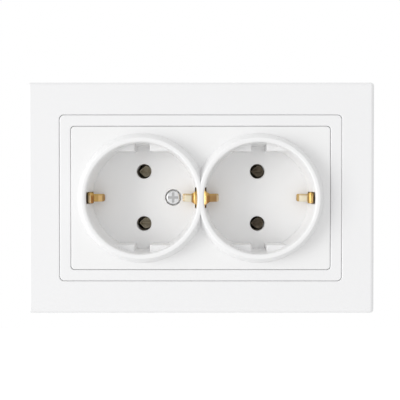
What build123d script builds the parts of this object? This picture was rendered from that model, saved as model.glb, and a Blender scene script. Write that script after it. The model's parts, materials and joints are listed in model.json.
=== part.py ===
from build123d import *
from math import radians, tan
import os

# Double wall socket with two round earthed cups in one moulded cover.
# Millimetres, +Z up as it hangs, fronts facing -Y, origin on the wall plane behind the middle.
# A height is measured out from the wall, along -Y. A depth is measured into the wall, along +Y.

# Cups and pins
cup_radius = 19.5
cup_bridge = 2.2
cup_depth = 17.5
cup_draft = 0.8
cup_wall = 2.0
cut_overrun = 1.0
pick_tolerance = 0.01
floor_thickness = 2.0
rim_rise = 5.5
rim_land = 1.7
rim_flare = 1.6
rim_lip_radius = 0.7
rim_edge_radius = 0.5
pin_spacing = 19.0
pin_hole_radius = 2.65
pin_hole_chamfer = 0.25
ledge_width = 3.0
ledge_below_rim = 5.0
ledge_chamfer = 0.35
keyway_width = 5.3
wall_bite = 0.3

# Faceplate, trim ring and frame
frame_side_room = 14.25
frame_top_room = 3.25
frame_wall = 2.0
frame_corner_radius = 1.2
frame_edge_radius = 1.4
ring_band = 3.88
ring_gap = 0.12
ring_corner_radius = 1.6
plate_side_margin = 2.35
plate_top_margin = 2.45
plate_corner_radius = 1.3
plate_thickness = 2.0
groove_edge_radius = 0.35
shelf_thickness = 1.8
shelf_collar = 1.5
shelf_overlap = 2.0
skirt_thickness = 1.5
skirt_height = 2.5
cover_clearance = 0.25
ring_clearance = 0.1

# Support strap and earth bar
strap_thickness = 1.2
strap_end_edge = 3.5
strap_slot_edge = 2.0
strap_corner_radius = 5.0
box_screw_spacing = 60.0
box_slot_radius = 2.1
box_slot_length = 7.0
box_scallop_radius = 3.4
bar_thickness = 0.8
bar_width = 7.8
bar_end_margin = 1.6

# Earth clips
clip_thickness = 0.6
clip_wall_inset = 0.2
clip_top = 15.2
clip_hairpin = 1.2
clip_finger_reach = 4.7
clip_tip_height = 7.2
clip_curl_out = 0.8
clip_curl_down = 1.0
clip_bend_radius = 0.45
clip_foot_bend_radius = 0.7
clip_finger_width = 3.0
clip_outer_leg_width = 3.8
clip_inner_leg_width = 7.0
clip_shoulder = 12.5
clip_foot_length = 4.9
clip_seat_gap = 0.05
clip_side_clearance = 0.2
clip_slot_top = 2.0
clip_slot_inner_room = 0.75
clip_lean_room = 1.4
clip_head_room = 0.65
rivet_inset = 3.4
rivet_radius = 0.85
rivet_head_radius = 1.35
rivet_head_thickness = 0.25

# Base and rear cover
base_radius = 28.0
window_rim = 2.8
window_half_height = 22.5
window_clearance = 0.2
claw_bay_half_height = 4.6
claw_bay_room = 0.3
lug_tab_margin = 0.8
lug_tab_room = 0.4
rear_cover_thickness = 2.0
rear_cover_margin = 0.4
base_pin_hole_room = 0.15
base_skin = 1.2

# Live contacts
contact_grip_radius = 2.45
leaf_thickness = 0.6
leaf_slot_half_angle = 26.6
leaf_front_depth = 2.2
leaf_room = 0.55
contact_bar_thickness = 0.8
contact_bar_height = 6.0
contact_bar_overhang = 3.0
contact_bar_clearance = 0.2

# Rising cage terminals
terminal_x = -6.5
terminal_z = 18.5
earth_terminal_room = 0.6
cage_size = 8.0
cage_side_wall = 1.2
cage_front_wall = 1.5
cage_rear_wall = 1.2
cage_mouth = 7.1
cage_travel = 3.4
cage_rest_gap = 0.1
cage_rear_gap = 1.3
cage_pocket_clearance = 0.3
tongue_depth = 9.0
tongue_width = 5.0
riser_gap = 0.8
riser_clearance = 0.5
terminal_screw_radius = 1.75
terminal_thread_clearance = 0.05
terminal_head_radius = 2.9
terminal_head_thickness = 1.6
terminal_head_clearance = 0.3
terminal_shelf = 1.1
shelf_depth = 2.0
head_seat_gap = 0.15
wire_entry_radius = 2.1

# Screws
drive_slot_width = 0.9
drive_length_share = 1.5
drive_depth = 0.8
head_edge_radius = 0.4
cover_screw_radius = 1.5
cover_screw_head_radius = 2.45
cover_screw_head_thickness = 1.5
cover_recess_clearance = 0.5
cover_recess_room = 0.3
cover_screw_length = 9.0
cover_boss_wall = 0.35
cover_boss_room = 0.5
cover_boss_gap = 0.1
insert_radius = 2.6
insert_length = 8.0
screw_clearance = 0.2
thread_clearance = 0.03
insert_clearance = 0.02
base_screw_x = 2.5
base_screw_edge = 1.7
base_screw_radius = 1.2
base_screw_length = 7.0
base_screw_head_radius = 2.1
base_screw_head_thickness = 1.1
rear_screw_radius = 1.3
rear_screw_length = 9.0
rear_screw_head_radius = 2.6
countersink_angle = 90.0

# Spreader claws
claw_pivot_x = 23.4
claw_pivot_depth = 2.6
claw_pin_radius = 0.8
claw_pin_clearance = 0.05
claw_eye_radius = 1.9
claw_thickness = 1.2
claw_width = 5.0
claw_arm_end_depth = 16.0
claw_tooth_offset = 5.2
claw_tooth_pitch = 1.65
claw_tooth_depth = 1.0
claw_tooth_land = 0.8
claw_flange_depth = 3.9
claw_flange_offset = 6.4
claw_screw_offset = 4.0
claw_screw_radius = 1.5
claw_screw_length = 10.0
claw_screw_head_radius = 2.5
claw_screw_head_thickness = 1.1
claw_slot_near = 1.6
claw_slot_far = 5.65
claw_slot_clearance = 0.15
lug_gap = 0.2
lug_thickness = 1.2
lug_half_width = 1.6
lug_depth = 4.4
pin_head_radius = 1.3
pin_head_thickness = 0.35

# Sizes that follow
cup_spacing = 2 * cup_radius + cup_bridge
cup_x = cup_spacing / 2
pin_z = pin_spacing / 2
ledge_offset = cup_radius - ledge_width
rim_top_radius = cup_radius + rim_land
rim_foot_radius = rim_top_radius + rim_flare
plate_width = cup_spacing + 2 * (rim_foot_radius + plate_side_margin)
plate_height = 2 * (rim_foot_radius + plate_top_margin)
ring_inner_width = plate_width + 2 * ring_gap
ring_inner_height = plate_height + 2 * ring_gap
ring_width = ring_inner_width + 2 * ring_band
ring_height = ring_inner_height + 2 * ring_band
clip_leg_reach = cup_radius - clip_wall_inset
clip_leg_x = cup_x + clip_leg_reach
clip_tip_reach = clip_leg_reach - clip_finger_reach
clip_foot_reach = clip_leg_reach - clip_foot_length
clip_slot_inner_reach = clip_leg_reach - clip_slot_inner_room
rivet_reach = clip_leg_reach - rivet_inset
clip_slot_outer_reach = clip_leg_reach + clip_thickness / 2 + clip_lean_room
bar_length = 2 * (clip_leg_x + bar_end_margin)
strap_width = bar_length + 2 * strap_end_edge
strap_height = box_screw_spacing + box_slot_length + 2 * strap_slot_edge
frame_width = strap_width + 2 * (frame_side_room + frame_wall)
frame_height = strap_height + 2 * (frame_top_room + frame_wall)
window_radius = base_radius - window_rim
base_screw_z = window_half_height + base_screw_edge
claw_bay_reach = claw_pivot_x - claw_eye_radius - claw_bay_room
lug_tab_reach = claw_bay_reach - lug_tab_room
claw_screw_x = claw_pivot_x + claw_screw_offset
base_pin_hole_radius = pin_hole_radius + base_pin_hole_room
contact_bore_radius = contact_grip_radius + leaf_thickness + leaf_room
cover_recess_radius = cover_screw_head_radius + cover_recess_clearance
cover_recess_depth = cover_screw_head_thickness + cover_recess_room
cover_boss_radius = cover_recess_radius + cover_boss_wall
cover_screw_x = clip_foot_reach - cover_boss_radius - cover_boss_room - cup_x
terminal_hole_radius = terminal_head_radius + terminal_head_clearance
earth_terminal_x = cup_x - clip_foot_reach + terminal_hole_radius + earth_terminal_room

# Heights and depths that follow
bar_front = strap_thickness + bar_thickness
clip_seat = bar_front + clip_seat_gap
floor_rear = clip_seat + clip_thickness + clip_head_room
floor_front = floor_rear + floor_thickness
rim_top = floor_front + cup_depth
plate_front = rim_top - rim_rise
plate_rear = plate_front - plate_thickness
ledge_front = rim_top - ledge_below_rim
block_front = strap_thickness
terminal_bottom = shelf_depth + cage_rest_gap + cage_travel
cage_depth = cage_front_wall + cage_mouth + cage_rear_wall
base_depth = terminal_bottom + cage_depth + cage_rear_gap
contact_bar_depth = base_depth - contact_bar_thickness - contact_bar_clearance
sides = {"left": -1, "right": 1}


def front(height):
    """Plane parallel to the wall at a height, its normal pointing out to the front."""
    return Plane.XZ.offset(height)


def rear(depth):
    """Plane parallel to the wall at a depth behind the wall plane, normal to the front."""
    return Plane.XZ.offset(-depth)


def from_rear(depth):
    """Plane at a depth behind the wall plane whose normal points into the wall."""
    return Plane(origin=(0, depth, 0), x_dir=(-1, 0, 0), z_dir=(0, 1, 0))


def save(sub_part, name):
    """Label a finished sub-part and write its STEP file."""
    sub_part.part.label = name
    export_step(sub_part.part, f"parts/{name}.step")


def drive_cross(plane, centre, radius):
    """Cross recess outline for a screw head."""
    with BuildSketch(plane) as cross:
        with Locations(centre):
            Rectangle(radius * drive_length_share, drive_slot_width)
            Rectangle(drive_slot_width, radius * drive_length_share)
    return cross.sketch


def window_outline(plane, gap):
    """Strap window round the base block, narrowed by a gap, with tabs left for the claw lugs."""
    tab_reach = lug_tab_reach - gap
    tab_width = window_radius - tab_reach
    with BuildSketch(plane) as outline:
        Circle(window_radius - gap)
        Rectangle(2 * window_radius, 2 * (window_half_height - gap), mode=Mode.INTERSECT)
        with Locations((-tab_reach - tab_width / 2, 0), (tab_reach + tab_width / 2, 0)):
            Rectangle(
                tab_width,
                2 * (claw_bay_half_height + lug_tab_margin + gap),
                mode=Mode.SUBTRACT,
            )
    return outline.sketch


os.makedirs("parts", exist_ok=True)

# Outer frame: a shallow tray that stands on the wall, with a shelf round its window
window_width = plate_width - 2 * (ring_gap + shelf_overlap)
window_height = plate_height - 2 * (ring_gap + shelf_overlap)
with BuildPart() as outer_frame:
    with BuildSketch(front(0)):
        RectangleRounded(frame_width, frame_height, frame_corner_radius)
    extrude(amount=plate_front)
    fillet(outer_frame.faces().sort_by(Axis.Y)[0].edges(), frame_edge_radius)
    with BuildSketch(front(0)):
        Rectangle(frame_width - 2 * frame_wall, frame_height - 2 * frame_wall)
    extrude(amount=plate_rear, mode=Mode.SUBTRACT)
    with BuildSketch(front(plate_rear - shelf_thickness)):
        Rectangle(ring_width + 2 * shelf_collar, ring_height + 2 * shelf_collar)
    extrude(amount=shelf_thickness)
    with BuildSketch(front(plate_rear)):
        RectangleRounded(
            ring_width + 2 * ring_clearance, ring_height + 2 * ring_clearance, ring_corner_radius
        )
    extrude(amount=plate_thickness, mode=Mode.SUBTRACT)
    mouth = outer_frame.faces().filter_by(Axis.Y).sort_by(Axis.Y)[0].inner_wires()
    fillet(mouth.edges(), groove_edge_radius)
    with BuildSketch(front(plate_rear - shelf_thickness)):
        Rectangle(window_width, window_height)
    extrude(amount=shelf_thickness, mode=Mode.SUBTRACT)
save(outer_frame, "outer_frame")

# Trim ring: the narrow separate band that sits on the frame's shelf
with BuildPart() as trim_ring:
    with BuildSketch(front(plate_rear)):
        RectangleRounded(ring_width, ring_height, ring_corner_radius)
        RectangleRounded(
            ring_inner_width, ring_inner_height, plate_corner_radius, mode=Mode.SUBTRACT
        )
    extrude(amount=plate_thickness)
    fillet(trim_ring.faces().sort_by(Axis.Y)[0].edges(), groove_edge_radius)
save(trim_ring, "trim_ring")

# Cover: faceplate, locating skirt and both cups in one moulding
with BuildPart() as socket_cover:
    with BuildSketch(front(plate_rear)):
        RectangleRounded(plate_width, plate_height, plate_corner_radius)
    extrude(amount=plate_thickness)
    fillet(socket_cover.faces().sort_by(Axis.Y)[0].edges(), groove_edge_radius)
    with BuildSketch(front(plate_rear - skirt_height)):
        Rectangle(window_width - 2 * cover_clearance, window_height - 2 * cover_clearance)
        offset(amount=-skirt_thickness, mode=Mode.SUBTRACT)
    extrude(amount=skirt_height)
    for side in sides.values():
        cup_axis = Axis((side * cup_x, 0, 0), (0, 1, 0))
        section = Plane(origin=(side * cup_x, 0, 0), x_dir=(1, 0, 0), z_dir=(0, 0, 1))
        with BuildSketch(section) as cup_body:
            with BuildLine():
                Polyline(
                    (0, -floor_rear),
                    (cup_radius + cup_wall, -floor_rear),
                    (cup_radius + cup_wall, -plate_rear),
                    (rim_foot_radius, -plate_rear),
                    (rim_foot_radius, -plate_front),
                    (rim_top_radius, -rim_top),
                    (0, -rim_top),
                    close=True,
                )
            make_face()
            rim_edge = cup_body.vertices().group_by(Axis.Y)[0].sort_by(Axis.X)[-1]
            fillet(rim_edge, rim_edge_radius)
        revolve(axis=cup_axis)
    for side in sides.values():
        cup_axis = Axis((side * cup_x, 0, 0), (0, 1, 0))
        section = Plane(origin=(side * cup_x, 0, 0), x_dir=(1, 0, 0), z_dir=(0, 0, 1))
        with BuildSketch(section):
            with BuildLine():
                wall_line = Polyline(
                    (0, -floor_front),
                    (cup_radius - cup_draft, -floor_front),
                    (cup_radius, -rim_top + rim_lip_radius),
                )
                lip = JernArc(wall_line @ 1, (0, -1), rim_lip_radius, 90)
                Polyline(
                    lip @ 1,
                    (cup_radius + rim_lip_radius, -rim_top - cut_overrun),
                    (0, -rim_top - cut_overrun),
                    (0, -floor_front),
                )
            make_face()
        revolve(axis=cup_axis, mode=Mode.SUBTRACT)
    with BuildSketch(front(floor_front)):
        with Locations((-cup_x, 0), (cup_x, 0)):
            Circle(cup_radius + wall_bite)
        Rectangle(plate_width, 2 * ledge_offset, mode=Mode.SUBTRACT)
        with Locations((-cup_x, 0), (cup_x, 0)):
            Rectangle(keyway_width, 2 * rim_foot_radius, mode=Mode.SUBTRACT)
    extrude(amount=ledge_front - floor_front)
    ledge_edges = socket_cover.edges().filter_by(GeomType.LINE).filter_by_position(
        Axis.Y, -ledge_front - pick_tolerance, -ledge_front + pick_tolerance
    )
    chamfer(ledge_edges, ledge_chamfer)
    with BuildSketch(front(floor_rear)):
        with GridLocations(cup_spacing, pin_spacing, 2, 2):
            Circle(pin_hole_radius)
    extrude(amount=floor_thickness, mode=Mode.SUBTRACT)
    pin_mouths = socket_cover.edges().filter_by(GeomType.CIRCLE).filter_by(
        lambda edge: abs(edge.radius - pin_hole_radius) < pick_tolerance
    ).group_by(Axis.Y)[0]
    chamfer(pin_mouths, pin_hole_chamfer)
    with BuildSketch(front(bar_front + cover_boss_gap)):
        with Locations((cover_screw_x, 0)):
            Circle(cover_boss_radius)
    extrude(amount=floor_rear - bar_front - cover_boss_gap)
    with Locations(front(floor_front) * Pos(cover_screw_x, 0, 0)):
        CounterBoreHole(
            cover_screw_radius + screw_clearance, cover_recess_radius, cover_recess_depth
        )
    with BuildSketch(front(floor_rear)):
        outer_span = clip_slot_outer_reach - clip_slot_inner_reach
        outer_middle = cup_x + (clip_slot_outer_reach + clip_slot_inner_reach) / 2
        with Locations((-outer_middle, 0), (outer_middle, 0)):
            Rectangle(outer_span, clip_outer_leg_width + 2 * clip_side_clearance)
        Rectangle(
            2 * (cup_x - clip_slot_inner_reach), clip_inner_leg_width + 2 * clip_side_clearance
        )
    extrude(amount=rim_top - clip_slot_top - floor_rear, mode=Mode.SUBTRACT)
save(socket_cover, "socket_cover")

# Cover screw and the threaded brass insert that takes it
recess_floor = floor_front - cover_recess_depth
with BuildPart() as cover_screw:
    with BuildSketch(front(recess_floor)):
        with Locations((cover_screw_x, 0)):
            Circle(cover_screw_head_radius)
    extrude(amount=cover_screw_head_thickness)
    fillet(cover_screw.faces().sort_by(Axis.Y)[0].edges(), head_edge_radius)
    cover_screw_top = front(recess_floor + cover_screw_head_thickness)
    extrude(
        drive_cross(cover_screw_top, (cover_screw_x, 0), cover_screw_head_radius),
        amount=-drive_depth,
        mode=Mode.SUBTRACT,
    )
    with BuildSketch(front(recess_floor)):
        with Locations((cover_screw_x, 0)):
            Circle(cover_screw_radius)
    extrude(amount=-cover_screw_length)
save(cover_screw, "cover_screw")

with BuildPart() as cover_insert:
    with BuildSketch(front(block_front)):
        with Locations((cover_screw_x, 0)):
            Circle(insert_radius)
            Circle(cover_screw_radius + thread_clearance, mode=Mode.SUBTRACT)
    extrude(amount=-insert_length)
save(cover_insert, "cover_insert")

# Support strap: stamped plate against the wall with box screw slots and claw lugs
with BuildPart() as support_strap:
    with BuildSketch(front(0)):
        RectangleRounded(strap_width, strap_height, strap_corner_radius)
        with GridLocations(0, box_screw_spacing, 1, 2):
            SlotOverall(box_slot_length, 2 * box_slot_radius, rotation=90, mode=Mode.SUBTRACT)
        with Locations((-claw_screw_x, 0), (claw_screw_x, 0)):
            Circle(claw_screw_radius + screw_clearance, mode=Mode.SUBTRACT)
        with Locations((base_screw_x, base_screw_z), (-base_screw_x, -base_screw_z)):
            Circle(base_screw_radius + screw_clearance, mode=Mode.SUBTRACT)
    extrude(amount=strap_thickness)
    extrude(window_outline(front(0), 0), amount=strap_thickness, mode=Mode.SUBTRACT)
    lug_z = claw_width / 2 + lug_gap + lug_thickness / 2
    with BuildSketch(front(0)):
        with GridLocations(2 * claw_pivot_x, 2 * lug_z, 2, 2):
            Rectangle(2 * lug_half_width, lug_thickness)
    extrude(amount=-lug_depth)
    with BuildSketch(Plane.XY):
        with Locations((-claw_pivot_x, claw_pivot_depth), (claw_pivot_x, claw_pivot_depth)):
            Circle(claw_pin_radius + claw_pin_clearance)
    extrude(amount=claw_bay_half_height, both=True, mode=Mode.SUBTRACT)
save(support_strap, "support_strap")

# Claw pivot pins, one through each pair of strap lugs
lug_outer = claw_width / 2 + lug_gap + lug_thickness
for side_name, side in sides.items():
    with BuildPart() as claw_pin:
        pivot = (side * claw_pivot_x, claw_pivot_depth)
        with BuildSketch(Plane.XY):
            with Locations(pivot):
                Circle(claw_pin_radius)
        extrude(amount=lug_outer + pin_head_thickness, both=True)
        for end in (Plane.XY.offset(lug_outer), Plane.XY.offset(-lug_outer - pin_head_thickness)):
            with BuildSketch(end):
                with Locations(pivot):
                    Circle(pin_head_radius)
            extrude(amount=pin_head_thickness)
    save(claw_pin, f"claw_pin_{side_name}")

# Spreader claws: a rolled eye, a flange for the screw and a toothed arm
for side_name, side in sides.items():
    eye_x = side * claw_pivot_x
    arm_x = side * (claw_pivot_x - claw_thickness / 2)
    with BuildPart() as claw:
        with BuildSketch(Plane.XY.offset(-claw_width / 2)):
            with Locations((eye_x, claw_pivot_depth)):
                Circle(claw_eye_radius)
            with Locations((arm_x, (claw_pivot_depth + claw_arm_end_depth) / 2)):
                Rectangle(claw_thickness, claw_arm_end_depth - claw_pivot_depth)
            flange_x = side * (claw_pivot_x + claw_flange_offset / 2)
            with Locations((flange_x, claw_flange_depth + claw_thickness / 2)):
                Rectangle(claw_flange_offset, claw_thickness)
            hook_x = side * (claw_pivot_x + (claw_tooth_offset - claw_thickness) / 2)
            with Locations((hook_x, claw_arm_end_depth - claw_thickness / 2)):
                Rectangle(claw_tooth_offset + claw_thickness, claw_thickness)
            with Locations((eye_x, claw_pivot_depth)):
                Circle(claw_pin_radius + claw_pin_clearance, mode=Mode.SUBTRACT)
        extrude(amount=claw_width)
        slot_middle = side * (claw_pivot_x + (claw_slot_near + claw_slot_far) / 2)
        with BuildSketch(rear(claw_flange_depth)):
            with Locations((slot_middle, 0)):
                Rectangle(
                    claw_slot_far - claw_slot_near,
                    2 * (claw_screw_radius + claw_slot_clearance),
                )
        extrude(amount=-claw_thickness, mode=Mode.SUBTRACT)
        with BuildSketch(from_rear(claw_arm_end_depth - claw_thickness)):
            tooth_x = -side * (claw_pivot_x + claw_tooth_offset)
            for row in (-1, 0, 1):
                with BuildLine():
                    Polyline(
                        (tooth_x, (row - 0.5) * claw_tooth_pitch + claw_tooth_land / 2),
                        (tooth_x + side * claw_tooth_depth, row * claw_tooth_pitch),
                        (tooth_x, (row + 0.5) * claw_tooth_pitch - claw_tooth_land / 2),
                        close=True,
                    )
                make_face()
        extrude(amount=claw_thickness, mode=Mode.SUBTRACT)
    save(claw, f"claw_{side_name}")

# Claw screws, pulled tight from the front
for side_name, side in sides.items():
    with BuildPart() as claw_screw:
        with BuildSketch(front(strap_thickness)):
            with Locations((side * claw_screw_x, 0)):
                Circle(claw_screw_head_radius)
        extrude(amount=claw_screw_head_thickness)
        fillet(claw_screw.faces().sort_by(Axis.Y)[0].edges(), head_edge_radius)
        extrude(
            drive_cross(
                front(strap_thickness + claw_screw_head_thickness),
                (side * claw_screw_x, 0),
                claw_screw_head_radius,
            ),
            amount=-drive_depth,
            mode=Mode.SUBTRACT,
        )
        with BuildSketch(front(strap_thickness)):
            with Locations((side * claw_screw_x, 0)):
                Circle(claw_screw_radius)
        extrude(amount=-claw_screw_length)
    save(claw_screw, f"claw_screw_{side_name}")

# Base: round insulating block behind the strap, its pockets open to the rear
terminals = {
    "line": (terminal_x, terminal_z, 1),
    "neutral": (-terminal_x, -terminal_z, -1),
    "earth": (earth_terminal_x, 0, 1),
}
pocket_size = cage_size + 2 * cage_pocket_clearance
wire_depth = tongue_depth + contact_bar_thickness + (
    terminal_bottom + cage_front_wall + cage_mouth - tongue_depth - contact_bar_thickness
) / 2
riser_near = cage_size / 2 + riser_gap
riser_far = riser_near + contact_bar_thickness
with BuildPart() as base_body:
    with BuildSketch(rear(base_depth)):
        Circle(base_radius)
    extrude(amount=base_depth)
    extrude(window_outline(front(0), window_clearance), amount=block_front)
    bay_reach = base_radius - claw_bay_reach
    with BuildSketch(rear(base_depth)):
        with GridLocations(2 * claw_bay_reach + bay_reach, 0, 2, 1):
            Rectangle(bay_reach, 2 * claw_bay_half_height)
        with GridLocations(0, box_screw_spacing, 1, 2):
            Circle(box_scallop_radius)
    extrude(amount=base_depth, mode=Mode.SUBTRACT)
    with BuildSketch(rear(base_depth)):
        with GridLocations(cup_spacing, pin_spacing, 2, 2):
            Circle(contact_bore_radius)
    extrude(amount=base_depth - base_skin, mode=Mode.SUBTRACT)
    with BuildSketch(rear(base_skin)):
        with GridLocations(cup_spacing, pin_spacing, 2, 2):
            Circle(base_pin_hole_radius)
    extrude(amount=base_skin + block_front, mode=Mode.SUBTRACT)
    with BuildSketch(rear(base_depth)):
        with GridLocations(0, pin_spacing, 1, 2):
            Rectangle(
                cup_spacing + 2 * (contact_bar_overhang + contact_bar_clearance),
                contact_bar_height + 2 * contact_bar_clearance,
            )
    extrude(amount=base_depth - contact_bar_depth, mode=Mode.SUBTRACT)
    for x, z, way in terminals.values():
        with BuildSketch(rear(base_depth)):
            with Locations((x, z)):
                Rectangle(pocket_size, pocket_size)
        extrude(amount=base_depth - shelf_depth, mode=Mode.SUBTRACT)
        with BuildSketch(rear(shelf_depth)):
            with Locations((x, z)):
                Circle(terminal_screw_radius + screw_clearance)
        extrude(amount=terminal_shelf, mode=Mode.SUBTRACT)
        with BuildSketch(rear(shelf_depth - terminal_shelf)):
            with Locations((x, z)):
                Circle(terminal_hole_radius)
        extrude(amount=shelf_depth - terminal_shelf + block_front, mode=Mode.SUBTRACT)
        with BuildSketch(Plane.XY.offset(z)):
            with Locations((x, wire_depth)):
                Circle(wire_entry_radius)
        extrude(amount=way * base_radius, mode=Mode.SUBTRACT)
    riser_slot = riser_far - cage_size / 2 + riser_clearance
    for x, z, way in (terminals["line"], terminals["neutral"]):
        with BuildSketch(rear(base_depth)):
            with Locations((x, z - way * (cage_size + riser_slot) / 2)):
                Rectangle(tongue_width + 2 * contact_bar_clearance, riser_slot)
        extrude(amount=base_depth - tongue_depth + contact_bar_clearance, mode=Mode.SUBTRACT)
    with BuildSketch(rear(tongue_depth + contact_bar_thickness + contact_bar_clearance)):
        with Locations((earth_terminal_x, -(cage_size + riser_slot) / 2)):
            Rectangle(tongue_width + 2 * contact_bar_clearance, riser_slot)
    extrude(
        amount=tongue_depth + contact_bar_thickness + contact_bar_clearance + block_front,
        mode=Mode.SUBTRACT,
    )
    with BuildSketch(rear(insert_length - block_front)):
        with Locations((cover_screw_x, 0)):
            Circle(insert_radius + insert_clearance)
    extrude(amount=insert_length, mode=Mode.SUBTRACT)
    with BuildSketch(rear(base_screw_length)):
        with Locations((base_screw_x, base_screw_z), (-base_screw_x, -base_screw_z)):
            Circle(base_screw_radius)
    extrude(amount=base_screw_length, mode=Mode.SUBTRACT)
    with BuildSketch(rear(base_depth)):
        Circle(rear_screw_radius)
    extrude(amount=rear_screw_length - rear_cover_thickness, mode=Mode.SUBTRACT)
save(base_body, "base_body")

# Rear cover: closes the contact pockets, held by one screw in the middle
rear_cover_radius = base_radius - rear_cover_margin
with BuildPart() as rear_cover:
    with BuildSketch(from_rear(base_depth)):
        Circle(rear_cover_radius)
        bay_half = claw_bay_half_height + rear_cover_margin
        with GridLocations(2 * claw_bay_reach + bay_reach, 0, 2, 1):
            Rectangle(bay_reach + 2 * rear_cover_margin, 2 * bay_half, mode=Mode.SUBTRACT)
        with GridLocations(0, box_screw_spacing, 1, 2):
            Circle(box_scallop_radius + rear_cover_margin, mode=Mode.SUBTRACT)
    extrude(amount=rear_cover_thickness)
    fillet(rear_cover.faces().sort_by(Axis.Y)[-1].outer_wire().edges(), head_edge_radius)
    with Locations(from_rear(base_depth + rear_cover_thickness)):
        CounterSinkHole(
            rear_screw_radius + screw_clearance,
            rear_screw_head_radius,
            counter_sink_angle=countersink_angle,
        )
save(rear_cover, "rear_cover")

# Rear cover screw, countersunk, driven from behind
with BuildPart() as rear_cover_screw:
    with BuildSketch(Plane.XY) as countersunk:
        with BuildLine():
            head_face = base_depth + rear_cover_thickness
            head_edge = rear_screw_head_radius - screw_clearance
            neck = head_face - (head_edge - rear_screw_radius) / tan(radians(countersink_angle / 2))
            tip = head_face - rear_screw_length + screw_clearance
            Polyline(
                (0, head_face),
                (head_edge, head_face),
                (rear_screw_radius, neck),
                (rear_screw_radius, tip + rear_screw_radius / 2),
                (rear_screw_radius / 2, tip),
                (0, tip),
                close=True,
            )
        make_face()
    revolve(axis=Axis.Y)
    extrude(
        drive_cross(from_rear(head_face), (0, 0), head_edge),
        amount=-drive_depth,
        mode=Mode.SUBTRACT,
    )
save(rear_cover_screw, "rear_cover_screw")

# Base screws, one above and one below, hold the base to the strap
for row_name, row in {"upper": 1, "lower": -1}.items():
    with BuildPart() as base_screw:
        with BuildSketch(front(strap_thickness)):
            with Locations((row * base_screw_x, row * base_screw_z)):
                Circle(base_screw_head_radius)
        extrude(amount=base_screw_head_thickness)
        fillet(base_screw.faces().sort_by(Axis.Y)[0].edges(), head_edge_radius)
        extrude(
            drive_cross(
                front(strap_thickness + base_screw_head_thickness),
                (row * base_screw_x, row * base_screw_z),
                base_screw_head_radius,
            ),
            amount=-drive_depth,
            mode=Mode.SUBTRACT,
        )
        with BuildSketch(front(strap_thickness)):
            with Locations((row * base_screw_x, row * base_screw_z)):
                Circle(base_screw_radius)
        extrude(amount=-strap_thickness - base_screw_length + screw_clearance)
    save(base_screw, f"base_screw_{row_name}")

# Live contact bars: a stamped strip with two gripping tulips and a tongue in its terminal
leaf_length = contact_bar_depth - leaf_front_depth
for pole in ("line", "neutral"):
    x, z, way = terminals[pole]
    with BuildPart() as contact_bar:
        with BuildSketch(rear(contact_bar_depth)):
            with Locations((0, way * pin_z)):
                Rectangle(cup_spacing + 2 * contact_bar_overhang, contact_bar_height)
        extrude(amount=-contact_bar_thickness)
        with BuildSketch(rear(contact_bar_depth)):
            with Locations((-cup_x, way * pin_z), (cup_x, way * pin_z)):
                Circle(contact_grip_radius + leaf_thickness)
                Circle(contact_grip_radius, mode=Mode.SUBTRACT)
                for turn in (0, 180):
                    with BuildLine(Rot(0, 0, turn)):
                        reach = 2 * contact_bore_radius
                        spread = reach * tan(radians(leaf_slot_half_angle))
                        Polyline((0, 0), (reach, spread), (reach, -spread), close=True)
                    make_face(mode=Mode.SUBTRACT)
        extrude(amount=leaf_length)
        riser_z = z - way * (riser_near + riser_far) / 2
        bar_edge = way * (pin_z + contact_bar_height / 2)
        riser_end = z - way * riser_near
        with BuildSketch(rear(contact_bar_depth)):
            with Locations((x, (bar_edge + riser_end) / 2)):
                Rectangle(tongue_width, abs(riser_end - bar_edge))
        extrude(amount=-contact_bar_thickness)
        with BuildSketch(rear(contact_bar_depth + contact_bar_thickness)):
            with Locations((x, riser_z)):
                Rectangle(tongue_width, contact_bar_thickness)
        extrude(amount=contact_bar_depth + contact_bar_thickness - tongue_depth)
        tongue_end = z + way * (cage_size / 2 - riser_clearance)
        with BuildSketch(rear(tongue_depth)):
            with Locations((x, (riser_end + tongue_end) / 2)):
                Rectangle(tongue_width, abs(tongue_end - riser_end))
        extrude(amount=-contact_bar_thickness)
    save(contact_bar, f"{pole}_contact_bar")

# Earth bar: lies on the strap, passes the screws, and bends back into the earth terminal
with BuildPart() as earth_bar:
    with BuildSketch(front(strap_thickness)):
        Rectangle(bar_length, bar_width)
        with Locations((cover_screw_x, 0)):
            Circle(cover_screw_radius + 2 * screw_clearance, mode=Mode.SUBTRACT)
        with Locations((earth_terminal_x, 0)):
            Circle(terminal_head_radius - 2 * terminal_head_clearance, mode=Mode.SUBTRACT)
        with GridLocations(2 * claw_screw_x, 0, 2, 1):
            Circle(claw_screw_head_radius + screw_clearance, mode=Mode.SUBTRACT)
        for reach in (cup_x - rivet_reach, cup_x + rivet_reach):
            with Locations((-reach, 0), (reach, 0)):
                Circle(rivet_radius + screw_clearance, mode=Mode.SUBTRACT)
        with Locations((earth_terminal_x, -(bar_width / 2 + riser_far) / 2)):
            Rectangle(tongue_width, riser_far - bar_width / 2)
    extrude(amount=bar_thickness)
    with BuildSketch(rear(tongue_depth + contact_bar_thickness)):
        with Locations((earth_terminal_x, -(riser_near + riser_far) / 2)):
            Rectangle(tongue_width, contact_bar_thickness)
    extrude(amount=tongue_depth + contact_bar_thickness + strap_thickness)
    earth_tongue_end = cage_size / 2 - riser_clearance
    with BuildSketch(rear(tongue_depth)):
        with Locations((earth_terminal_x, (earth_tongue_end - riser_near) / 2)):
            Rectangle(tongue_width, earth_tongue_end + riser_near)
    extrude(amount=-contact_bar_thickness)
save(earth_bar, "earth_bar")

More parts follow.
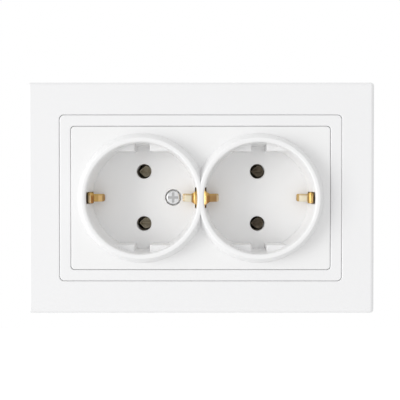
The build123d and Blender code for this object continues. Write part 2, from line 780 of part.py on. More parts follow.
# Earth clips: folded brass springs, one on each side of each cup, with their rivets
places = {
    "left_outer": (-1, -1, clip_outer_leg_width),
    "left_inner": (-1, 1, clip_inner_leg_width),
    "right_inner": (1, -1, clip_inner_leg_width),
    "right_outer": (1, 1, clip_outer_leg_width),
}
foot_middle = clip_seat + clip_thickness / 2
for place, (cup_side, way, leg_width) in places.items():
    section = Plane(origin=(cup_side * cup_x, 0, 0), x_dir=(1, 0, 0), z_dir=(0, 0, 1))
    with BuildPart() as earth_clip:
        with BuildSketch(section):
            with BuildLine():
                FilletPolyline(
                    (way * clip_foot_reach, -foot_middle),
                    (way * clip_leg_reach, -foot_middle),
                    (way * clip_leg_reach, -clip_shoulder),
                    radius=clip_foot_bend_radius,
                )
            trace(line_width=clip_thickness)
        extrude(amount=leg_width / 2, both=True)
        with BuildSketch(section):
            with BuildLine():
                FilletPolyline(
                    (way * clip_leg_reach, -clip_shoulder),
                    (way * clip_leg_reach, -clip_top),
                    (way * (clip_leg_reach - clip_hairpin), -clip_top),
                    (way * clip_tip_reach, -clip_tip_height),
                    (way * (clip_tip_reach + clip_curl_out), -clip_tip_height + clip_curl_down),
                    radius=clip_bend_radius,
                )
            trace(line_width=clip_thickness)
        extrude(amount=clip_finger_width / 2, both=True)
        with BuildSketch(front(clip_seat)):
            with Locations((cup_side * cup_x + way * rivet_reach, 0)):
                Circle(rivet_radius)
        extrude(amount=clip_thickness, mode=Mode.SUBTRACT)
    save(earth_clip, f"earth_clip_{place}")
    with BuildPart() as rivet:
        with BuildSketch(front(clip_seat + clip_thickness)):
            with Locations((cup_side * cup_x + way * rivet_reach, 0)):
                Circle(rivet_head_radius)
        extrude(amount=rivet_head_thickness)
        with BuildSketch(front(strap_thickness + clip_seat_gap)):
            with Locations((cup_side * cup_x + way * rivet_reach, 0)):
                Circle(rivet_radius)
        extrude(amount=bar_thickness + clip_thickness)
    save(rivet, f"clip_rivet_{place}")

# Rising cages and their captive screws, at the open end of their travel
cage_front = shelf_depth + cage_rest_gap + cage_travel
for pole, (x, z, way) in terminals.items():
    with BuildPart() as cage:
        with BuildSketch(rear(cage_front + cage_depth)):
            with Locations((x, z)):
                Rectangle(cage_size, cage_size)
        extrude(amount=cage_depth)
        with BuildSketch(rear(cage_front + cage_front_wall + cage_mouth)):
            with Locations((x, z)):
                Rectangle(cage_size - 2 * cage_side_wall, cage_size)
        extrude(amount=cage_mouth, mode=Mode.SUBTRACT)
        with BuildSketch(rear(cage_front + cage_front_wall)):
            with Locations((x, z)):
                Circle(terminal_screw_radius + terminal_thread_clearance)
        extrude(amount=cage_front_wall, mode=Mode.SUBTRACT)
    save(cage, f"{pole}_terminal_cage")
    head_rear = shelf_depth - terminal_shelf - head_seat_gap
    with BuildPart() as terminal_screw:
        with BuildSketch(rear(head_rear)):
            with Locations((x, z)):
                Circle(terminal_head_radius)
        extrude(amount=terminal_head_thickness)
        fillet(terminal_screw.faces().sort_by(Axis.Y)[0].edges(), head_edge_radius)
        extrude(
            drive_cross(rear(head_rear - terminal_head_thickness), (x, z), terminal_head_radius),
            amount=-drive_depth,
            mode=Mode.SUBTRACT,
        )
        with BuildSketch(rear(tongue_depth - cage_rest_gap)):
            with Locations((x, z)):
                Circle(terminal_screw_radius)
        extrude(amount=tongue_depth - cage_rest_gap - head_rear)
    save(terminal_screw, f"{pole}_terminal_screw")
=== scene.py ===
import json
import math

import bpy
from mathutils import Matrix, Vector

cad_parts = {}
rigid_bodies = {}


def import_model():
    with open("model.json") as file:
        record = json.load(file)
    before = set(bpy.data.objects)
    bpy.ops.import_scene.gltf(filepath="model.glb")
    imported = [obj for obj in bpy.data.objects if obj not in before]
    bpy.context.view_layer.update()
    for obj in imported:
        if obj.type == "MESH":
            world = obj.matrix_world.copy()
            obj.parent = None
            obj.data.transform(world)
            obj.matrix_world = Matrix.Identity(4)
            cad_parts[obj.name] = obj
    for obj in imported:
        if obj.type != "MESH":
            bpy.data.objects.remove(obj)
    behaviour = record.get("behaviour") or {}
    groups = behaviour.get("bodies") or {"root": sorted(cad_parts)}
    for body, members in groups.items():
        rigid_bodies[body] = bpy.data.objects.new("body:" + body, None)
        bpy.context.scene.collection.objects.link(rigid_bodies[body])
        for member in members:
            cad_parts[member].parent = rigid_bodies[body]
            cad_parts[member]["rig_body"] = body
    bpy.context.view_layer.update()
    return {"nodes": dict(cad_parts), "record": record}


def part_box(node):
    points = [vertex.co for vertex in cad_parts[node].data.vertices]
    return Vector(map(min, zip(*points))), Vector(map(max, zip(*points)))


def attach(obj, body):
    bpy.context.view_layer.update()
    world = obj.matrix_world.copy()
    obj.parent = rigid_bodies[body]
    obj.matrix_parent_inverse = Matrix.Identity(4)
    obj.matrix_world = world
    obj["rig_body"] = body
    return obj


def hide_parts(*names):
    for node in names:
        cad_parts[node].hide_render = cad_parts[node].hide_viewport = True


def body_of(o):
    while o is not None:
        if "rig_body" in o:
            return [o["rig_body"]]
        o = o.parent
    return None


# Metres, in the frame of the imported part: +Z up as it hangs, fronts facing -Y, the wall at Y = 0.
MM = 0.001


def colour(red, green, blue):
    return (red, green, blue, 1.0)


# Photograph: a square view from a little above, aimed close to the middle of the front
CAMERA_DISTANCE = 366 * MM
CAMERA_RISE = 6.3 * MM
AIM_RIGHT = -0.23 * MM
AIM_RISE = -0.59 * MM
# Lens and sensor in mm, as Blender takes them
FOCAL_LENGTH = 94.8
SENSOR_WIDTH = 36.0

# Cups, by the side of X that they lie on
CUP_SIDES = {"left": -1, "right": 1}
PIN_SPACING = 19 * MM

# Earth clips: the strip, the rivet through its foot and how fine its rounding is
CLIP_SHEET = 0.6 * MM
CLIP_WEAR = 0.09 * MM
CLIP_SMOOTH_ANGLE = math.radians(40)
CLIP_PATH_STEPS = 3
RIVET_REACH = 15.9 * MM
RIVET_HOLE_RADIUS = 1.15 * MM
RIVET_HOLE_SIDES = 32
PUNCH_LENGTH = 2 * MM

# Path of a clip's strip in mm: reach from the cup's middle, and how far in front of the wall
CLIP_FOOT = ((14.4, 2.35), (18.3, 2.35))
CLIP_LEG = ((19.1, 2.6), (19.3, 3.6), (19.3, 12.4))
CLIP_HEAD = ((19.3, 12.6), (19.45, 13.7), (19.4, 14.7), (18.65, 15.18), (18.1, 14.85), (17.7, 14.2))
CLIP_FINGER = ((17.6, 14.0), (16.5, 12.0), (15.4, 9.9))
CLIP_TIP = ((14.7, 8.1), (14.35, 7.3), (14.5, 6.65), (15.0, 6.25))

# Widths of the strip in mm: foot and leg, each point of the head, and finger
CLIP_WIDTHS = {
    "outer": (3.8, (3.8, 3.8, 3.8, 3.8, 3.8, 3.7), 2.75),
    "inner": (7.0, (6.8, 6.6, 5.8, 4.4, 3.5, 3.1), 2.9),
}
# How much narrower than the finger each point of the tip is, in mm
TIP_NARROWING = (0.1, 0.7, 1.1, 1.2)

# Contact mouths, rolled from thin sheet just behind the pin holes
MOUTH_FRONT = 0.3 * MM
MOUTH_RADIUS = 2.35 * MM
MOUTH_SIDES = 48
MOUTH_SHEET = 0.2 * MM
MOUTH_WEAR = 0.05 * MM
MOUTH_SMOOTH_ANGLE = math.radians(35)
# Teardrop: shares of the circle's width and height, its shift right, and the pinch of its left end
MOUTH_WIDE = 0.93
MOUTH_TALL = 0.84
MOUTH_SHIFT = 0.1 * MOUTH_RADIUS
MOUTH_PINCH = 0.8
MOUTH_PINCH_POWER = 1.3
MOUTH_LIP = 0.28 * MM
MOUTH_LIP_DROP = 0.1 * MM
# Each step inwards: how deep in mm, and the share of width and of height that is left
MOUTH_STEPS = ((0.15, 0.97, 0.8), (0.2, 0.96, 0.62), (0.2, 0.96, 0.42), (0.3, 0.97, 0.3))

# Sheet work: edges sharper than this angle are worn, and points nearer than this are merged
WORN_ANGLE = math.radians(50)
WORN_SEGMENTS = 2
MERGE_DISTANCE = 0.001 * MM
# Points this near to a place on a strip's path lie across the strip there
SAME_PLACE = 0.01 * MM

# Screws: the drive recess, the shares of its depth where painted shade darkens it, and the rolled
# thread
REAR_FACING_SCREW = "rear_cover_screw"
RECESS_DEPTH = 0.8 * MM
RECESS_DARKENS = (0.15, 0.6)
THREAD_PITCH = 0.6 * MM
THREAD_SWING = 0.09 * MM

# White mouldings, glossy with an orange peel, their edges seen rounded, painted paler deep in the
# cups as painted light
MOULDED_EDGE = 0.4 * MM
EDGE_SAMPLES = 8
MOULDING_IOR = 1.5
PEEL_DEPTH = 0.0012 * MM
CLOUD_SHARE = 0.5
# Depths over which the insides of the cups are painted paler, as painted light
CUP_LIT_DEPTHS = (-15 * MM, -9 * MM)
FRAME_WHITE = colour(0.85, 0.85, 0.855)
COVER_WHITE = colour(0.855, 0.855, 0.855)
# Painted light: the paler white of the insides of the cups
CUP_LIT_WHITE = colour(0.925, 0.925, 0.925)
FRAME_ROUGHNESS = 0.3
COVER_ROUGHNESS = 0.32

# Brass and bronze strip, with painted shade where it runs deep near the wall and behind it
DRAWN_LINES = (0.15, 0.15, 3.0)
LINE_DEPTH = 0.006 * MM
STRIP_SHADE_DEPTHS = (-6 * MM, -2 * MM)
CLIP_SHADE_DEPTHS = (-8 * MM, -4 * MM)
BRASS_PALE = colour(0.86, 0.62, 0.30)
BRASS_DARK = colour(0.66, 0.42, 0.16)
BRONZE_PALE = colour(0.46, 0.41, 0.34)
BRONZE_DARK = colour(0.30, 0.26, 0.20)
BRASS_ROUGHNESS = 0.26
BRONZE_ROUGHNESS = 0.42

# Spring brass of the clips: its roughness, the part of its flecks in it, and its tones; fleck is the
# brass's own tone, the rest are painted highlights, reflections and shade
CLIP_ROUGHNESS = 0.3
FLECK_ROUGHNESS = 0.06
FLECK_SHARE = 0.2
CLIP_BRASS_AND_SHEEN = {
    "glint": colour(1.00, 0.93, 0.74),
    "pale": colour(0.86, 0.68, 0.42),
    "bright": colour(0.88, 0.60, 0.26),
    "gold": colour(0.58, 0.37, 0.12),
    "edge": colour(0.56, 0.37, 0.12),
    "fleck": colour(0.52, 0.32, 0.10),
    "amber": colour(0.45, 0.25, 0.08),
    "brown": colour(0.29, 0.13, 0.04),
    "depth_shade": colour(0.16, 0.10, 0.05),
    "film_and_shade": colour(0.10, 0.06, 0.03),
}
# Zones along a clip by reach in mm where painted highlights, reflections and shade lie: tip, crest,
# slope, bend, hairpin and back
CLIP_SHEEN_ZONES = ((13.0, 14.7), (15.0, 15.9), (16.2, 17.2), (17.5, 18.3), (18.6, 19.1), (19.4, 20.2))
# The painted tone of each zone of each clip
CLIP_SHEEN_TONES = {
    "left_outer": ("amber", "bright", "gold", "brown", "pale", "film_and_shade"),
    "left_inner": ("pale", "glint", "glint", "amber", "bright", "brown"),
    "right_inner": ("pale", "amber", "amber", "brown", "bright", "brown"),
    "right_outer": ("gold", "glint", "glint", "gold", "bright", "film_and_shade"),
}
# Painted sheen: the upper edge of a clip stays golden where its lower part is painted as catching the
# light
CLIP_UPPER_EDGE = (0.55 * MM, 1.15 * MM)
UPPER_EDGE_SHARE = 0.75

# Film on the contact mouths, with the right cup's pair darker as painted shade, and how deep painted
# shade turns them dark
MOUTH_TONES = {
    "left": (colour(0.74, 0.66, 0.50), colour(0.50, 0.43, 0.31)),
    "right": (colour(0.40, 0.33, 0.25), colour(0.20, 0.16, 0.11)),
}
MOUTH_SHADE_DEPTHS = (1.3 * MM, 2.4 * MM)
MOUTH_DEEP_SHADE = colour(0.05, 0.04, 0.03)
MOUTH_METAL_SHARE = 0.35
MOUTH_ROUGHNESS = 0.48

# Zinc on the screws and on the steel parts
SCREW_PALE = colour(0.80, 0.80, 0.80)
SCREW_DIM = colour(0.60, 0.61, 0.62)
# Painted shade in a screw's drive recess
SCREW_RECESS_SHADE = colour(0.48, 0.48, 0.48)
SCREW_ROUGHNESS = 0.34
ZINC_PALE = colour(0.66, 0.67, 0.69)
ZINC_DIM = colour(0.50, 0.51, 0.53)
ZINC_ROUGHNESS = 0.32

# Pressed base
BASE_PALE = colour(0.74, 0.74, 0.70)
BASE_DIM = colour(0.66, 0.66, 0.62)
BASE_SPECK = colour(0.58, 0.57, 0.54)
BASE_ROUGHNESS = 0.53
SPECK_SHARE = 0.5

# Stage: lengths in metres, power in watts, tones and glow as shares of plain white
FLOOR_DROP = 900 * MM
FLOOR_SIZE = 12.0
FLOOR_TONE = colour(0.85, 0.85, 0.85)
FLOOR_GLOW = 0.5
WORLD_TONE = colour(1.0, 1.0, 1.0)
WORLD_LIGHT = 0.82
KEY_PLACE = (-2.5, -1.7, 0.1)
KEY_SIZE = 1.6
KEY_POWER = 39.0


class Signal:
    """A shader socket that takes part in sums and products."""

    def __init__(self, shader, socket):
        self.shader = shader
        self.socket = socket

    def __add__(self, other):
        return self.shader.math_of("ADD", self, other)

    def __sub__(self, other):
        return self.shader.math_of("SUBTRACT", self, other)

    def __rsub__(self, other):
        return self.shader.math_of("SUBTRACT", other, self)

    def __mul__(self, other):
        return self.shader.math_of("MULTIPLY", self, other)

    __radd__ = __add__
    __rmul__ = __mul__


class Shader:
    """The nodes of a material or of the world, built up by calls."""

    def __init__(self, owner):
        owner.use_nodes = True
        self.owner = owner
        self.tree = owner.node_tree
        self.tree.nodes.clear()

    def node(self, kind, settings, sockets):
        """A node with its settings made first and its sockets filled or linked after."""
        made = self.tree.nodes.new(kind)
        for name, value in settings.items():
            setattr(made, name, value)
        for name, value in sockets.items():
            if isinstance(value, Signal):
                self.tree.links.new(value.socket, made.inputs[name])
            else:
                made.inputs[name].default_value = value
        return made

    def signal(self, kind, settings, sockets, output):
        """One output of a new node."""
        return Signal(self, self.node(kind, settings, sockets).outputs[output])

    def math_of(self, operation, *terms):
        """One step of arithmetic on signals and numbers."""
        return self.signal(
            "ShaderNodeMath", {"operation": operation}, dict(enumerate(terms)), "Value"
        )

    def place(self):
        """Where a point lies on the piece at rest, in the frame."""
        return self.signal("ShaderNodeTexCoord", {}, {}, "Object")

    def along(self, axis):
        """Where a point lies along one axis of the frame, in metres."""
        return self.signal("ShaderNodeSeparateXYZ", {}, {0: self.place()}, "XYZ".index(axis))

    def ease(self, value, start, end):
        """Runs from 0 at the start to 1 at the end, and no further."""
        return self.signal(
            "ShaderNodeMapRange", {}, {"Value": value, "From Min": start, "From Max": end}, "Result"
        )

    def noise(self, size, detail, stretch=(1.0, 1.0, 1.0)):
        """Soft noise from 0 to 1 with blots about one size across, drawn out where stretch is low."""
        place = self.signal(
            "ShaderNodeMapping", {}, {"Vector": self.place(), "Scale": stretch}, "Vector"
        )
        sockets = {"Vector": place, "Scale": 1 / size, "Detail": detail}
        return self.signal("ShaderNodeTexNoise", {}, sockets, "Fac")

    def between(self, mask, low, high):
        """A colour that runs from low to high with the mask."""
        return self.signal(
            "ShaderNodeMix", {"data_type": "RGBA"}, {0: mask, 6: low, 7: high}, 2
        )

    def bands(self, value, stops):
        """Colours laid out along a value, each stop a place from 0 to 1 and its colour."""
        made = self.node("ShaderNodeValToRGB", {}, {"Fac": value})
        ramp = made.color_ramp.elements
        while len(ramp) < len(stops):
            ramp.new(1.0)
        for stop, (place, tint) in zip(ramp, stops):
            stop.position = place
            stop.color = tint
        return Signal(self, made.outputs["Color"])

    def relief(self, height, depth, below=None):
        """A bump of real depth, on top of the one below."""
        sockets = {"Height": height, "Distance": depth}
        if below:
            sockets["Normal"] = below
        return self.signal("ShaderNodeBump", {}, sockets, "Normal")

    def rounded_edges(self, radius):
        """Normals that make sharp edges look rounded."""
        settings = {"samples": EDGE_SAMPLES}
        return self.signal("ShaderNodeBevel", settings, {"Radius": radius}, "Normal")

    def finish(self, **sockets):
        """Closes the material with one Principled surface."""
        named = {name.replace("_", " "): value for name, value in sockets.items()}
        surface = self.signal("ShaderNodeBsdfPrincipled", {}, named, "BSDF")
        self.node("ShaderNodeOutputMaterial", {}, {"Surface": surface})
        return self.owner

    def shown_white(self):
        """1 for the rays that look at a background: straight on, in metal or through glass."""
        path = self.node("ShaderNodeLightPath", {}, {})
        rays = ("Is Camera Ray", "Is Glossy Ray", "Is Transmission Ray")
        straight, mirrored, through = (Signal(self, path.outputs[ray]) for ray in rays)
        return self.math_of("MINIMUM", straight + mirrored + through, 1.0)


def material_shader(name):
    return Shader(bpy.data.materials.new(name))


def darker(tint, share):
    """A colour with a share of its brightness."""
    return colour(*(share * part for part in tint[:3]))


def vary(middle, mask, spread):
    """A number that follows the mask from half the spread under its middle to half over it."""
    return middle - spread / 2 + mask * spread


def white_moulding(name, tint, roughness, lit_inside_tint=None):
    """Glossy white injection moulding, a little uneven, with painted light that makes it paler deep
    inside the cups.
    """
    shader = material_shader(name)
    cloud = shader.noise(size=14 * MM, detail=4.0)
    peel = shader.noise(size=1.2 * MM, detail=2.0)
    handled = shader.noise(size=4 * MM, detail=5.0)
    face = tint
    if lit_inside_tint:
        # Painted light: paler deep inside the cups
        face = shader.between(shader.ease(shader.along("Y"), *CUP_LIT_DEPTHS), tint, lit_inside_tint)
    return shader.finish(
        Base_Color=shader.between(cloud * CLOUD_SHARE, face, darker(tint, share=0.99)),
        Roughness=vary(roughness, handled, spread=0.06),
        Normal=shader.relief(peel, PEEL_DEPTH, shader.rounded_edges(MOULDED_EDGE)),
        IOR=MOULDING_IOR,
    )


def rolled_strip(name, pale, dark, roughness):
    """Rolled brass or bronze: fine lines along the strip and light tarnish, with painted shade where
    it runs deep.
    """
    shader = material_shader(name)
    lines = shader.noise(size=0.35 * MM, detail=3.0, stretch=DRAWN_LINES)
    patchy = shader.between(shader.noise(size=2.5 * MM, detail=4.0), dark, pale)
    # Painted shade near the wall and behind it
    depth_shade = shader.ease(shader.along("Y"), *STRIP_SHADE_DEPTHS)
    return shader.finish(
        Base_Color=shader.between(depth_shade, patchy, darker(dark, share=0.6)),
        Metallic=1.0,
        Roughness=vary(roughness, lines, spread=0.12),
        Normal=shader.relief(lines, LINE_DEPTH),
    )


def spring_brass(name, cup_middle, way, sheen_tones):
    """The sprung brass of one earth clip: painted highlights, reflections and shade in bands along
    it, and painted shade where it runs deep.
    """
    shader = material_shader(name)
    reach = (shader.along("X") - cup_middle) * way
    first, last = CLIP_SHEEN_ZONES[0][0], CLIP_SHEEN_ZONES[-1][-1]
    stops = [
        ((end - first) / (last - first), CLIP_BRASS_AND_SHEEN[tone])
        for zone, tone in zip(CLIP_SHEEN_ZONES, sheen_tones)
        for end in zone
    ]
    # Painted highlights, reflections and shade in bands by reach from the cup's middle
    sheen_bands = shader.bands(shader.ease(reach, first * MM, last * MM), stops)
    upper_edge = shader.ease(shader.along("Z"), *CLIP_UPPER_EDGE)
    # Painted sheen: the upper edge stays golden
    wear_and_sheen = shader.between(upper_edge * UPPER_EDGE_SHARE, sheen_bands, CLIP_BRASS_AND_SHEEN["edge"])
    lines = shader.noise(size=0.3 * MM, detail=3.0, stretch=DRAWN_LINES)
    fleck = shader.noise(size=0.9 * MM, detail=4.0)
    # Flecks of the brass's own tone over the painted sheen
    sheen_and_flecks = shader.between(fleck * FLECK_SHARE, wear_and_sheen, CLIP_BRASS_AND_SHEEN["fleck"])
    # Painted shade where the clip runs deep near the wall and behind it
    depth_shade = shader.ease(shader.along("Y"), *CLIP_SHADE_DEPTHS)
    return shader.finish(
        Base_Color=shader.between(depth_shade, sheen_and_flecks, CLIP_BRASS_AND_SHEEN["depth_shade"]),
        Metallic=1.0,
        Roughness=vary(CLIP_ROUGHNESS, lines, spread=0.12) + fleck * FLECK_ROUGHNESS,
        Normal=shader.relief(lines, LINE_DEPTH),
    )


def leaf_bronze(name, pale, dark):
    """The dull bronze of a contact mouth under a patchy film, with painted shade where it runs deep.
    """
    shader = material_shader(name)
    film_and_shade = shader.noise(size=1.1 * MM, detail=4.0)
    drawn = shader.noise(size=0.2 * MM, detail=3.0, stretch=(1.0, 0.2, 1.0))
    # Painted shade deep in the pin hole
    deep_shade = shader.ease(shader.along("Y"), *MOUTH_SHADE_DEPTHS)
    return shader.finish(
        Base_Color=shader.between(deep_shade, shader.between(film_and_shade, dark, pale), MOUTH_DEEP_SHADE),
        Metallic=MOUTH_METAL_SHARE,
        Roughness=vary(MOUTH_ROUGHNESS, film_and_shade, spread=0.12),
        Normal=shader.relief(drawn, depth=0.01 * MM),
    )


def threaded_zinc(name, head_front, recess_depth):
    """Bright zinc on a screw: pale head, painted shade in the drive recess, a rolled thread on the
    shank.
    """
    shader = material_shader(name)
    depth = shader.along("Y")
    mottle = shader.noise(size=0.7 * MM, detail=4.0)
    start, end = (head_front + share * recess_depth for share in RECESS_DARKENS)
    pale = shader.between(mottle, SCREW_DIM, SCREW_PALE)
    thread = shader.math_of("SINE", depth * (2 * math.pi / THREAD_PITCH))
    return shader.finish(
        Base_Color=shader.between(shader.ease(depth, start, end), pale, SCREW_RECESS_SHADE),
        Metallic=1.0,
        Roughness=vary(SCREW_ROUGHNESS, mottle, spread=0.16),
        Normal=shader.relief(thread, THREAD_SWING),
    )


def zinc_plate(name):
    """Bright zinc plating on steel, mottled and faintly scored across."""
    shader = material_shader(name)
    mottle = shader.noise(size=1.6 * MM, detail=4.0)
    drag = shader.noise(size=0.25 * MM, detail=2.0, stretch=(0.2, 1.0, 1.0))
    return shader.finish(
        Base_Color=shader.between(mottle, ZINC_DIM, ZINC_PALE),
        Metallic=1.0,
        Roughness=vary(ZINC_ROUGHNESS, mottle, spread=0.16),
        Normal=shader.relief(drag, depth=0.004 * MM),
    )


def thermoset(name):
    """Matte off-white pressed base with a fine mineral speckle."""
    shader = material_shader(name)
    speck = shader.noise(size=0.5 * MM, detail=4.0)
    cloud = shader.noise(size=9 * MM, detail=3.0)
    tone = shader.between(cloud, BASE_DIM, BASE_PALE)
    return shader.finish(
        Base_Color=shader.between(speck * SPECK_SHARE, tone, BASE_SPECK),
        Roughness=vary(BASE_ROUGHNESS, speck, spread=0.14),
        Normal=shader.relief(speck, depth=0.02 * MM),
        IOR=MOULDING_IOR,
    )


def just_added(name):
    """The piece that was just added, given its name."""
    piece = bpy.context.object
    piece.name = name
    piece.data.name = name
    return piece


def pick(piece):
    """Selects one piece alone and makes it the active one."""
    bpy.ops.object.select_all(action="DESELECT")
    bpy.context.view_layer.objects.active = piece
    piece.select_set(True)


def settle(piece):
    """Applies the piece's place and turn, and its modifiers in order."""
    pick(piece)
    bpy.ops.object.transform_apply(location=True, rotation=True, scale=True)
    for modifier in list(piece.modifiers):
        bpy.ops.object.modifier_apply(modifier=modifier.name)


def face_out(piece):
    """Merges doubled points and turns every face outwards."""
    pick(piece)
    bpy.ops.object.mode_set(mode="EDIT")
    bpy.ops.mesh.select_all(action="SELECT")
    bpy.ops.mesh.remove_doubles(threshold=MERGE_DISTANCE)
    bpy.ops.mesh.normals_make_consistent(inside=False)
    bpy.ops.object.mode_set(mode="OBJECT")


def thicken(piece, thickness, offset):
    """Gives a sheet its thickness: to both sides with offset 0, or behind its faces with -1."""
    wall = piece.modifiers.new("sheet", "SOLIDIFY")
    wall.thickness = thickness
    wall.offset = offset


def wear_edges(piece, width):
    """Rounds off the sharp edges of a piece."""
    edge = piece.modifiers.new("worn edges", "BEVEL")
    edge.width = width
    edge.segments = WORN_SEGMENTS
    edge.limit_method = "ANGLE"
    edge.angle_limit = WORN_ANGLE


def smooth_path(keys, steps):
    """Points on a Catmull-Rom curve through the keys, each a tuple of numbers."""
    path = []
    for index in range(len(keys) - 1):
        near = [Vector(keys[max(0, min(len(keys) - 1, index + turn))]) for turn in (-1, 0, 1, 2)]
        for step in range(steps):
            part = step / steps
            path.append(
                0.5
                * (
                    2 * near[1]
                    + (near[2] - near[0]) * part
                    + (2 * near[0] - 5 * near[1] + 4 * near[2] - near[3]) * part**2
                    + (3 * near[1] - near[0] - 3 * near[2] + near[3]) * part**3
                )
            )
    path.append(Vector(keys[-1]))
    return path


def clip_path(part):
    """Points along a clip's strip in mm: reach, how far in front of the wall, and width."""
    leg, head, finger = CLIP_WIDTHS[part]
    keys = [(*place, leg) for place in CLIP_FOOT + CLIP_LEG]
    keys += [(*place, width) for place, width in zip(CLIP_HEAD, head)]
    keys += [(*place, finger) for place in CLIP_FINGER]
    keys += [(*place, finger - less) for place, less in zip(CLIP_TIP, TIP_NARROWING)]
    path = smooth_path(keys, CLIP_PATH_STEPS)
    # Each point takes the width of its nearest key, so that the strip's shoulders stay square
    for index, point in enumerate(path):
        nearest = (index + CLIP_PATH_STEPS // 2) // CLIP_PATH_STEPS
        point.z = keys[min(len(keys) - 1, nearest)][2]
    return path


def select_end(strip, place):
    """Selects, in edit mode, only the points across the strip at one place."""
    bpy.ops.mesh.select_all(action="DESELECT")
    bpy.ops.object.mode_set(mode="OBJECT")
    for vertex in strip.data.vertices:
        vertex.select = (vertex.co - place).xy.length < SAME_PLACE
    bpy.ops.object.mode_set(mode="EDIT")


def bent_strip(name, places, widths):
    """A bare strip that runs through the places, upright in Z and as wide as given at each."""
    bpy.ops.object.select_all(action="DESELECT")
    bpy.ops.mesh.primitive_plane_add(size=1, location=(0, 0, 0))
    strip = just_added(name)
    for vertex in strip.data.vertices:
        end = 0 if vertex.co.x < 0 else 1
        half = widths[end] / 2
        vertex.co = places[end] + Vector((0, 0, half if vertex.co.y > 0 else -half))
    bpy.ops.object.mode_set(mode="EDIT")
    select_end(strip, places[1])
    for index in range(2, len(places)):
        bpy.ops.mesh.extrude_region_move(
            TRANSFORM_OT_translate={"value": places[index] - places[index - 1]}
        )
        bpy.ops.transform.resize(
            value=(1, 1, widths[index] / widths[index - 1]), center_override=places[index]
        )
    bpy.ops.object.mode_set(mode="OBJECT")
    return strip


def bowed_clip(name, cup_middle, way, part, sheen_tones):
    """One earth clip as bent from strip: foot, leg, wide head, hairpin and a bowed finger."""
    path = clip_path(part)
    places = [Vector((cup_middle + way * point.x * MM, -point.y * MM, 0)) for point in path]
    clip = bent_strip(name, places, [point.z * MM for point in path])
    thicken(clip, CLIP_SHEET, offset=0)
    settle(clip)
    face_out(clip)
    bpy.ops.mesh.primitive_cylinder_add(
        vertices=RIVET_HOLE_SIDES,
        radius=RIVET_HOLE_RADIUS,
        depth=PUNCH_LENGTH,
        location=(cup_middle + way * RIVET_REACH, -CLIP_FOOT[0][1] * MM, 0),
        rotation=(math.pi / 2, 0, 0),
    )
    punch = just_added("punch")
    hole = clip.modifiers.new("rivet hole", "BOOLEAN")
    hole.operation = "DIFFERENCE"
    hole.solver = "MANIFOLD"
    hole.object = punch
    wear_edges(clip, CLIP_WEAR)
    settle(clip)
    bpy.data.objects.remove(punch)
    face_out(clip)
    bpy.ops.object.shade_smooth_by_angle(angle=CLIP_SMOOTH_ANGLE)
    clip.data.materials.clear()
    clip.data.materials.append(spring_brass(name + " brass", cup_middle, way, sheen_tones))
    return clip


def contact_mouth(name, cup_middle, height, finish):
    """The rolled mouth of one contact: a teardrop with its seam on the left, closing to a slit."""
    middle = Vector((cup_middle, MOUTH_FRONT, height))
    bpy.ops.object.select_all(action="DESELECT")
    bpy.ops.mesh.primitive_circle_add(
        vertices=MOUTH_SIDES,
        radius=MOUTH_RADIUS,
        fill_type="NGON",
        location=middle,
        rotation=(math.pi / 2, 0, 0),
    )
    mouth = just_added(name)
    settle(mouth)
    for vertex in mouth.data.vertices:
        turn = vertex.co - middle
        left = max(0.0, -turn.x / MOUTH_RADIUS)
        pinch = 1 - MOUTH_PINCH * left**MOUTH_PINCH_POWER
        vertex.co.x = middle.x + turn.x * MOUTH_WIDE + MOUTH_SHIFT
        vertex.co.z = middle.z + turn.z * (MOUTH_TALL * pinch)
    bpy.ops.object.mode_set(mode="EDIT")
    bpy.ops.mesh.select_all(action="SELECT")
    bpy.ops.mesh.inset(thickness=MOUTH_LIP)
    bpy.ops.transform.translate(value=(0, MOUTH_LIP_DROP, 0))
    for depth, wide, tall in MOUTH_STEPS:
        bpy.ops.mesh.extrude_region_move(TRANSFORM_OT_translate={"value": (0, depth * MM, 0)})
        bpy.ops.transform.resize(value=(wide, 1, tall), center_override=middle)
    bpy.ops.object.mode_set(mode="OBJECT")
    thicken(mouth, MOUTH_SHEET, offset=-1)
    wear_edges(mouth, MOUTH_WEAR)
    settle(mouth)
    face_out(mouth)
    bpy.ops.object.shade_smooth_by_angle(angle=MOUTH_SMOOTH_ANGLE)
    mouth.data.materials.append(finish)
    return mouth


def dress_nodes(frame):
    """Gives each node the finish of its material slot."""
    finishes = {
        "frame_plastic": white_moulding("frame moulding", FRAME_WHITE, FRAME_ROUGHNESS),
        "cover_plastic": white_moulding(
            "cover moulding", COVER_WHITE, COVER_ROUGHNESS, CUP_LIT_WHITE
        ),
        "base_plastic": thermoset("pressed base"),
        "contact_bronze": rolled_strip(
            "tinned bronze", BRONZE_PALE, BRONZE_DARK, BRONZE_ROUGHNESS
        ),
        "brass": rolled_strip("rolled brass", BRASS_PALE, BRASS_DARK, BRASS_ROUGHNESS),
        "zinc_steel": zinc_plate("zinc plating"),
    }
    for row in frame["record"]["subparts"]:
        materials = frame["nodes"][row["node"]].data.materials
        for index in range(len(materials)):
            materials[index] = finishes[row["material_slot"]]


def fit_clips(nodes, cup_x):
    """Puts a bowed clip in place of each earth clip of the frame."""
    for side, cup_side in CUP_SIDES.items():
        for part, way in (("outer", cup_side), ("inner", -cup_side)):
            node = f"earth_clip_{side}_{part}"
            sheen_tones = CLIP_SHEEN_TONES[f"{side}_{part}"]
            clip = bowed_clip(node + "_spring", cup_side * cup_x, way, part, sheen_tones)
            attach(clip, body_of(nodes[node])[0])
            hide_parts(node)


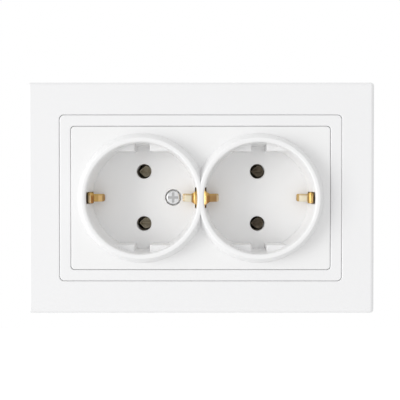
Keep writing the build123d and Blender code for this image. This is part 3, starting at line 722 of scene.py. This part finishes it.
def fit_mouths(nodes, cup_x):
    """Adds a rolled mouth behind each pin hole, on the line bar above and the neutral bar below."""
    finishes = {
        side: leaf_bronze(f"{side} mouths", pale, dark)
        for side, (pale, dark) in MOUTH_TONES.items()
    }
    for side, cup_side in CUP_SIDES.items():
        for pole, row in (("line", 1), ("neutral", -1)):
            mouth = contact_mouth(
                f"{pole}_mouth_{side}", cup_side * cup_x, row * PIN_SPACING / 2, finishes[side]
            )
            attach(mouth, body_of(nodes[f"{pole}_contact_bar"])[0])


def finish_screws(nodes):
    """Gives each screw a zinc finish of its own, whose painted recess shade starts at the front of
    its head.
    """
    for node in nodes:
        if node.endswith("_screw") or "_screw_" in node:
            front, rear = (corner.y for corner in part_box(node))
            if node == REAR_FACING_SCREW:
                zinc = threaded_zinc(node + " zinc", rear, -RECESS_DEPTH)
            else:
                zinc = threaded_zinc(node + " zinc", front, RECESS_DEPTH)
            nodes[node].data.materials[0] = zinc


def white_floor():
    """A pale floor far below the socket, seen as white, that lights it softly from below."""
    bpy.ops.object.select_all(action="DESELECT")
    bpy.ops.mesh.primitive_plane_add(size=FLOOR_SIZE, location=(0, 0, -FLOOR_DROP))
    floor = bpy.context.object
    floor.name = "floor"
    shader = material_shader("pale floor")
    strength = shader.shown_white() * FLOOR_GLOW
    glow = shader.signal("ShaderNodeEmission", {}, {"Strength": strength}, "Emission")
    matt = shader.signal("ShaderNodeBsdfDiffuse", {}, {"Color": FLOOR_TONE}, "BSDF")
    both = shader.signal("ShaderNodeAddShader", {}, {0: glow, 1: matt}, "Shader")
    shader.node("ShaderNodeOutputMaterial", {}, {"Surface": both})
    floor.data.materials.append(shader.owner)


def white_world():
    """Even light all round, seen as plain white."""
    world = bpy.data.worlds.new("studio")
    bpy.context.scene.world = world
    shader = Shader(world)
    white = shader.shown_white()
    strength = white + (1.0 - white) * WORLD_LIGHT
    glow = shader.signal(
        "ShaderNodeBackground", {}, {"Color": WORLD_TONE, "Strength": strength}, "Background"
    )
    shader.node("ShaderNodeOutputWorld", {}, {"Surface": glow})


def key_lamp():
    """A square soft lamp, in front and to the left, that faces the socket."""
    data = bpy.data.lights.new("key", "AREA")
    data.shape = "SQUARE"
    data.size = KEY_SIZE
    data.energy = KEY_POWER
    lamp = bpy.data.objects.new("key", data)
    bpy.context.scene.collection.objects.link(lamp)
    lamp.location = KEY_PLACE
    lamp.rotation_mode = "QUATERNION"
    lamp.rotation_quaternion = (-Vector(KEY_PLACE)).to_track_quat("-Z", "Y")


def photo_camera():
    """The camera at the photograph's viewing angle."""
    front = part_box("socket_cover")[0].y
    data = bpy.data.cameras.new("camera")
    data.lens = FOCAL_LENGTH
    data.sensor_width = SENSOR_WIDTH
    camera = bpy.data.objects.new("camera", data)
    bpy.context.scene.collection.objects.link(camera)
    place = Vector((0, front - CAMERA_DISTANCE, CAMERA_RISE))
    aim = Vector((AIM_RIGHT, front, AIM_RISE))
    camera.location = place
    camera.rotation_mode = "QUATERNION"
    camera.rotation_quaternion = (aim - place).to_track_quat("-Z", "Y")
    bpy.context.scene.camera = camera


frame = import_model()
nodes = frame["nodes"]
# The middle of a cup lies halfway between its two clip rivets
cup_x = (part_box("clip_rivet_right_inner")[0].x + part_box("clip_rivet_right_outer")[1].x) / 2

dress_nodes(frame)
fit_clips(nodes, cup_x)
fit_mouths(nodes, cup_x)
finish_screws(nodes)
white_floor()
white_world()
key_lamp()
photo_camera()
bpy.context.scene.view_settings.view_transform = "Standard"
